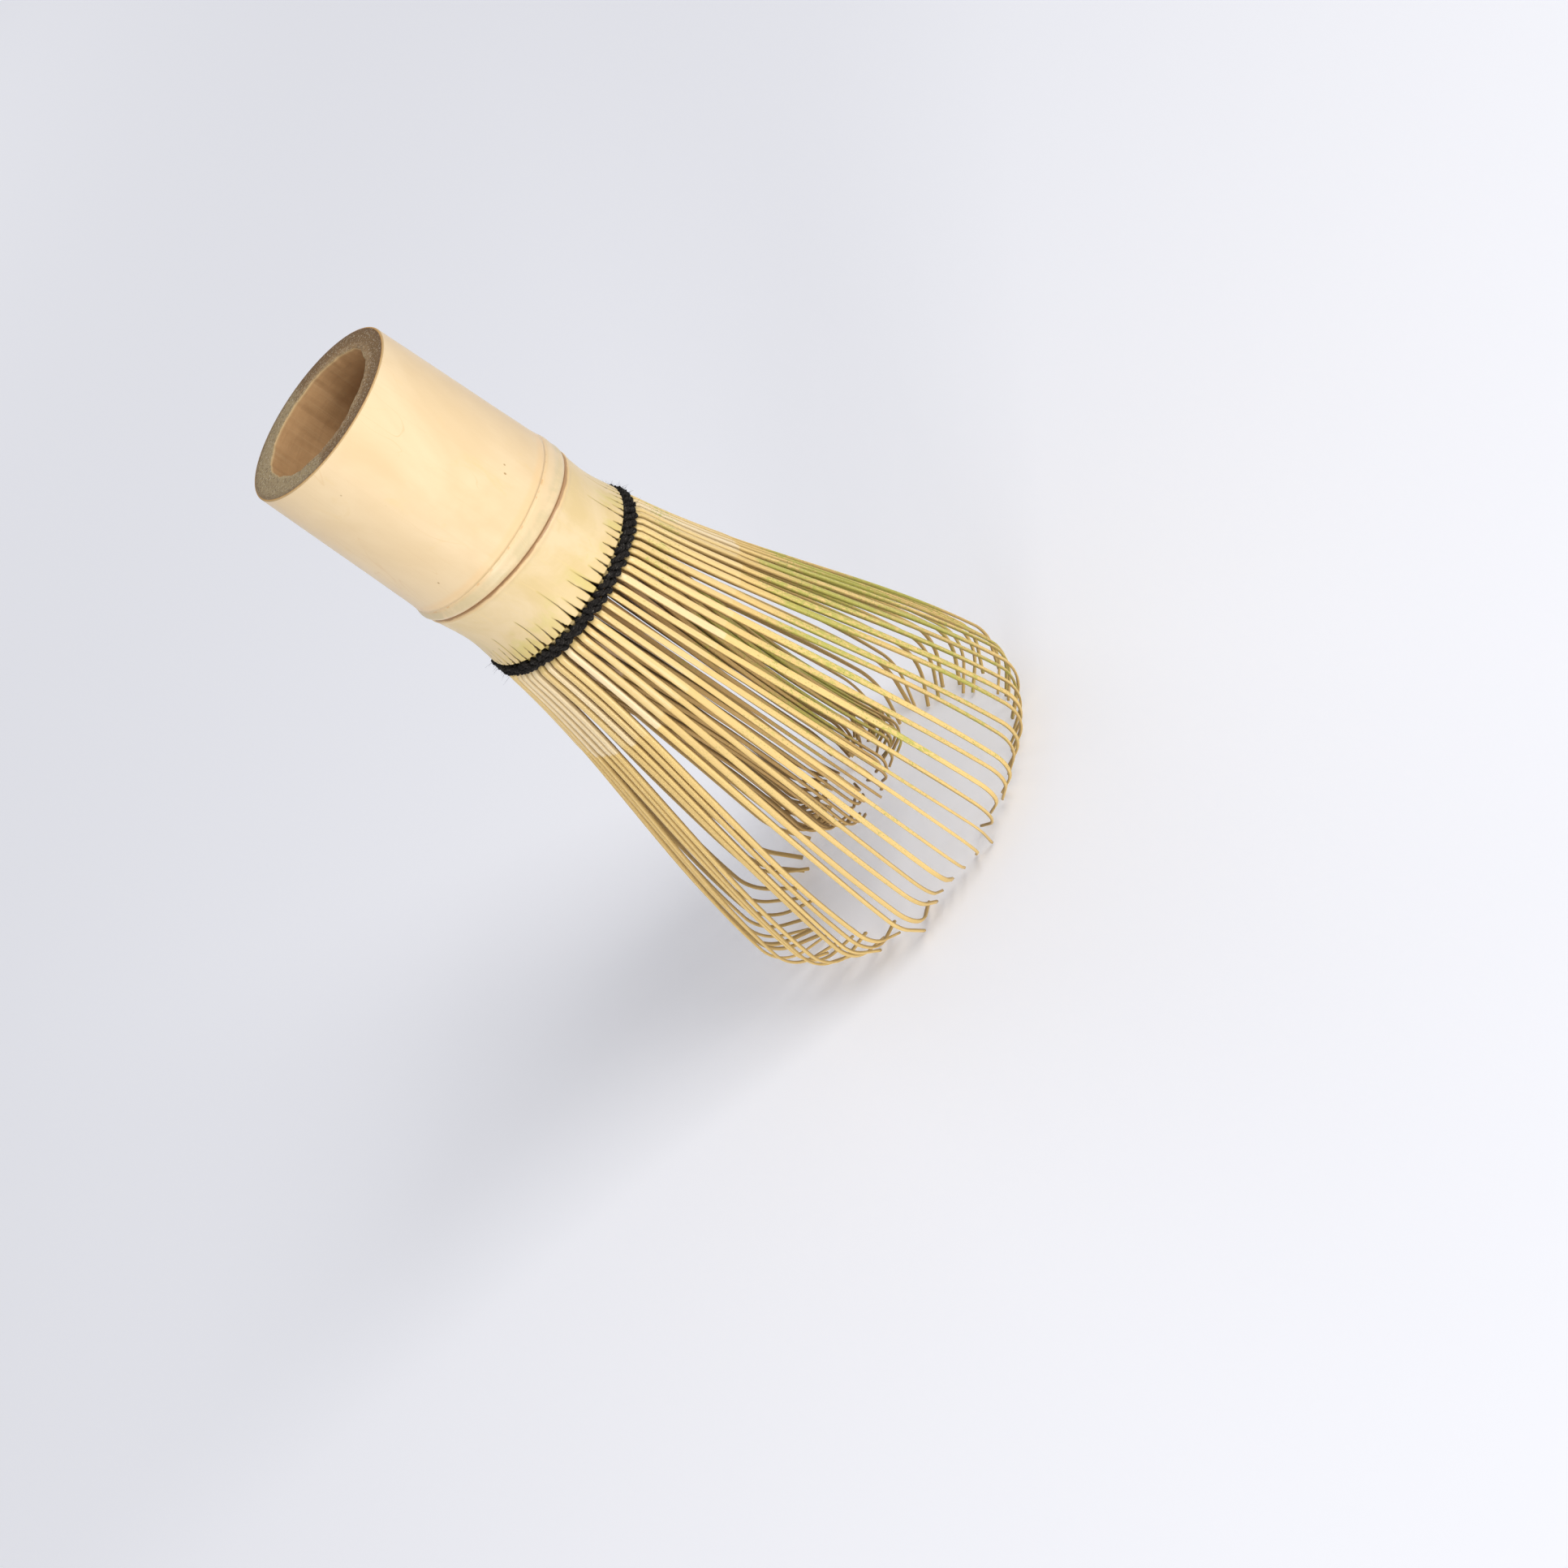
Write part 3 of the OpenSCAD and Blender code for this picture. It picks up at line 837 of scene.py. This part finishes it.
def outer_tines():
    """The bell of outer tines, each a little different in width, bend, lean and length.
    Every fifth one isn't lifted, and ends nearest the floor."""
    bend = np.radians(each(rng.normal, 52, 9).clip(30, 72))
    lift = each(rng.uniform, 0, 1.6)
    lift[::5] = 0
    hook_h = OUTER_HOOK_R * (np.sin(bend) + math.sin(OUTER_LEAN))
    bottom = WHISK_H - (hook_h + OUTER_TIP * np.cos(bend) + FLOOR_GAP) - lift
    top = THREAD_DROP + 0.45
    radius, drop = tine_line((15.35, 17.8, 26.3, BELL_R), top, bottom, OUTER_HOOK_R,
                             OUTER_LEAN, bend, OUTER_TIP, (44, 10, 5))
    radius = radius - 0.6 * (1 - ease(drop, top, top + 1.7))
    run = (drop - top) / (WHISK_H - top)
    radius = radius + each(rng.normal, 0, 0.3) * run ** 2
    sway = each(rng.normal, 0, 0.4) * run ** 2
    sway = sway + each(rng.normal, 0, 0.12) * np.sin(run * 5 + each(rng.uniform, 0, 6))
    width = OUTER_W * (1 + each(rng.normal, 0, 0.1)) + 0.03 * ease(drop, top, SHAVING_DROP)
    width = width - 0.4 * ease(drop, 66, WHISK_H - 2)
    apart = radius * TINE_STEP - width - 0.12
    together = ease(run, 0.02, 0.42) * (1 - 0.55 * ease(run, 0.6, 1))
    together = together * rng.uniform(0.3, 0.8, (SEGMENTS, 1)).repeat(TINES_EACH, 0)
    sway = sway + clump_pull(0.5)[:, None] * apart * together
    width = width - 0.05 * ease(drop, SHAVING_DROP - 0.2, SHAVING_DROP + 0.3)
    shaved = ease(drop, SHAVING_DROP - 0.15, SHAVING_DROP + 0.25)
    thick = OUTER_T - 0.25 * ease(drop, THREAD_DROP, SHAVING_DROP) - 0.14 * shaved
    thick = thick - 0.24 * ease(drop, SHAVING_DROP + 4, WHISK_H)
    radius = radius - 0.1 * shaved
    twist = each(rng.normal, 0, 0.16) * run
    places = np.arange(TINES) - (TINES_EACH - 1) / 2
    around = places[:, None] * TINE_STEP + 0 * radius
    points, across, depth = tine_points(radius, drop, around, sway, width, thick, twist)
    tone = rng.uniform(0, 1, TINES) ** 1.3
    facts = tine_facts(around, drop, across, depth, tone, rng.uniform(-1.5, 1.5, TINES))
    tine_pieces("outer_tine_splints", "outer_tines", OUTER, points, facts)


def inner_tines():
    """The gathered bundle of inner tines, which start between the outer ones."""
    bend = np.radians(each(rng.normal, 66, 10).clip(40, 90))
    bottom = 96.5 + each(rng.normal, 0, 1.1).clip(-2.5, 1.5)
    top = COLLAR_FOOT
    radius, drop = tine_line((13.0, 10.0, 8.7, BUNDLE_R), top, bottom, INNER_HOOK_R,
                             INNER_LEAN, bend, INNER_TIP, (40, 9, 4))
    run = (drop - top) / (bottom - top)
    radius = radius + each(rng.normal, 0, 0.3) * np.clip(run, 0, 1)
    sway = each(rng.normal, 0, 0.11) * run ** 2
    width = INNER_W - 0.32 * ease(drop, 60, 102)
    thick = INNER_T - 0.48 * ease(drop, THREAD_DROP, 100)
    twist = each(rng.normal, 0, 0.12) * run
    places = np.arange(TINES) + 1 - TINES_EACH / 2
    around = places[:, None] * TINE_STEP + 0 * radius
    points, across, depth = tine_points(radius, drop, around, sway, width, thick, twist)
    tone = rng.uniform(0, 1, TINES)
    facts = tine_facts(around, drop + 6, across, depth, tone, rng.uniform(-1.5, 1.5, TINES))
    tine_pieces("inner_tine_splints", "inner_tines", INNER, points, facts)


outer_tines()
inner_tines()


# --- Thread -------------------------------------------------------------------------

PLIES = 3
PLY_SIDES = 7
TURNS_PER_MM = 0.55
COURSE_STEPS = TINES * 20
COURSE_SLANT = 0.2
HAIR_STEPS = 5
HAIR_SIDES = 3
HAIR_REACH = 0.6
HAIR_R = 0.022


def yarn(path, thickness):
    """Strands twisted round a closed path: each is a tube round a helix that winds about
    the path. The section's own place is along the strand and round it."""
    along = np.roll(path, -1, axis=0) - np.roll(path, 1, axis=0)
    along = along / np.linalg.norm(along, axis=1, keepdims=True)
    side = np.cross(along, (0, 0, 1))
    side = side / np.linalg.norm(side, axis=1, keepdims=True)
    up = np.cross(side, along)
    length = np.linalg.norm(np.diff(path, axis=0, append=path[:1]), axis=1)
    turns = round(length.sum() * TURNS_PER_MM)
    phase = TURN * turns * np.cumsum(length) / length.sum()
    strand_r = thickness * 0.3
    reach = thickness * 0.24
    angle = np.arange(PLY_SIDES) / PLY_SIDES * TURN
    points = []
    own = []
    for ply in range(PLIES):
        wind = phase + TURN * ply / PLIES
        centre = path + reach * (side * np.cos(wind)[:, None] + up * np.sin(wind)[:, None])
        spin = angle[None, :] + wind[:, None]
        circle = side[:, None] * np.cos(spin)[..., None] + up[:, None] * np.sin(spin)[..., None]
        points.append(centre[:, None] + strand_r * circle)
        run = np.cumsum(length)[:, None] + 0 * spin
        own.append(np.stack([run, np.cos(spin) * 0.3, np.sin(spin) * 0.3 + ply], -1))
    one = grid_faces(len(path), PLY_SIDES, wrap_rows=True)
    quads = np.concatenate([one + ply * len(path) * PLY_SIDES for ply in range(PLIES)])
    return np.stack(points), quads, np.stack(own)


def wobble(turn, lowest, highest, size):
    """A random closed wave round the culm, made of sines that each fit a whole number of
    times."""
    often = np.arange(lowest, highest)[:, None]
    phase = rng.uniform(0, TURN, (len(often), 1))
    height = rng.normal(0, size * math.sqrt(2 / len(often)), (len(often), 1))
    return (height * np.sin(often * turn[None, :] + phase)).sum(0)


def woven_course(radius, drop, phase, swing, weave):
    """The thread's path round the culm, never twice alike. Once in every tine's step it
    goes in by the weave and out again, on a slant, and the phase says where."""
    turn = np.linspace(0, TURN, COURSE_STEPS, endpoint=False)
    wave = TINES * turn + phase + wobble(turn, 4, 60, 0.5)
    depth = weave * np.clip(1 + wobble(turn, 10, 70, 0.5), 0.2, 2)
    reach = radius + swing * np.cos(wave) - depth * (0.5 - 0.5 * np.cos(wave)) ** 3
    height = drop + COURSE_SLANT * np.sin(wave) * (1 + wobble(turn, 6, 50, 0.5))
    return placed(reach + wobble(turn, 30, 130, 0.05), turn, height + wobble(turn, 8, 120, 0.09))


def fuzz(path, count):
    """Stray fibres that stand off the thread: thin three-sided hairs that curl."""
    at = rng.integers(0, len(path), count)
    root = path[at]
    outward = root * np.array([1, 1, 0])
    outward = outward / np.linalg.norm(outward, axis=1, keepdims=True)
    drift = rng.normal(0, 0.7, (count, 3)) + outward * 0.9
    curl = rng.normal(0, 0.5, (count, 3))
    t = np.linspace(0, 1, HAIR_STEPS)[None, :, None]
    size = HAIR_REACH * rng.uniform(0.4, 1, count)[:, None, None]
    line = root[:, None] + size * (drift[:, None] * t + curl[:, None] * t * t)
    angle = np.arange(HAIR_SIDES) / HAIR_SIDES * TURN
    thin = HAIR_R * (1 - 0.8 * t[..., None])
    ring = np.stack([np.cos(angle), np.sin(angle), np.sin(angle + 1)], -1)
    points = line[:, :, None] + thin * ring
    one = grid_faces(HAIR_STEPS, HAIR_SIDES)
    quads = np.concatenate([one + k * HAIR_STEPS * HAIR_SIDES for k in range(count)])
    return points.reshape(-1, 3), quads


def thread_course(name, node_name, radius, drop, phase, swing, weave, thickness, hairs):
    """One course of black cotton, with its stray fibres."""
    path = woven_course(radius, drop, phase, swing, weave)
    points, quads, own = yarn(path, thickness)
    hair_points, hair_quads = fuzz(path, hairs)
    flat = points.reshape(-1, 3)
    quads = np.concatenate([quads, hair_quads + len(flat)])
    facts = {"own": np.concatenate([own.reshape(-1, 3), hair_points])}
    points = np.concatenate([flat, hair_points])
    piece = make_mesh(name, points, quads, (COTTON,), facts=facts)
    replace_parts(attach(piece, "root"), node_name)


def thread():
    """Two outer courses laid against each other, half a wave apart, and a plain one
    between the tines' roots. The lower dips between the outer tines, and the upper at
    their middles."""
    middle = WHISK_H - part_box("thread_upper_course")[0].z / MM
    woven = {"swing": 0.14, "weave": 0.7, "thickness": 0.8, "hairs": 1100}
    plain = {"swing": 0.1, "weave": 0.0, "thickness": 0.75, "hairs": 60}
    thread_course("thread_upper_yarn", "thread_upper_course", 14.95, middle - 0.36, 0.0, **woven)
    thread_course("thread_lower_yarn", "thread_lower_course", 15.05, middle + 0.34, math.pi,
                  **woven)
    thread_course("thread_inner_yarn", "thread_inner_course", 12.5, THREAD_DROP + 0.8, 0.0,
                  **plain)


thread()


# --- Stage --------------------------------------------------------------------------

FLOOR_HALF = 6
LIT_PLACE = (0, 0, 0.06)


def floor():
    """A pale floor under the tips."""
    material, _, shader = new_material("floor")
    shader.inputs["Base Color"].default_value = (0.88, 0.88, 0.9, 1)
    shader.inputs["Emission Color"].default_value = (0.95, 0.95, 1, 1)
    shader.inputs["Emission Strength"].default_value = 0.1
    shine(shader, 0.7, specular=0.2)
    mesh = bpy.data.meshes.new("floor")
    far = FLOOR_HALF
    corners = [(-far, -far, 0), (far, -far, 0), (far, far, 0), (-far, far, 0)]
    mesh.from_pydata(corners, [], [(0, 1, 2, 3)])
    mesh.materials.append(material)
    piece = bpy.data.objects.new("floor", mesh)
    bpy.context.scene.collection.objects.link(piece)


def softbox(name, place, size, power):
    """A square area light that faces the middle of the whisk."""
    data = bpy.data.lights.new(name, "AREA")
    data.size = size
    data.energy = power
    light = bpy.data.objects.new(name, data)
    light.location = place
    aim = Vector(LIT_PLACE) - Vector(place)
    light.rotation_euler = aim.to_track_quat("-Z", "Y").to_euler()
    bpy.context.scene.collection.objects.link(light)


def studio():
    """A soft key from the right, a fill in front, a weaker one behind, and a pale room."""
    softbox("key", (0.66, -0.58, 0.7), 0.6, 7.4)
    softbox("front", (-0.42, -0.85, 0.2), 0.3, 3.9)
    softbox("back", (-0.1, 0.95, 0.45), 0.5, 1.0)
    world = bpy.data.worlds.new("room")
    world.use_nodes = True
    background = world.node_tree.nodes["Background"]
    background.inputs["Color"].default_value = (0.9, 0.92, 1, 1)
    background.inputs["Strength"].default_value = 0.45
    bpy.context.scene.world = world
    bpy.context.scene.view_settings.view_transform = "Standard"


floor()
studio()
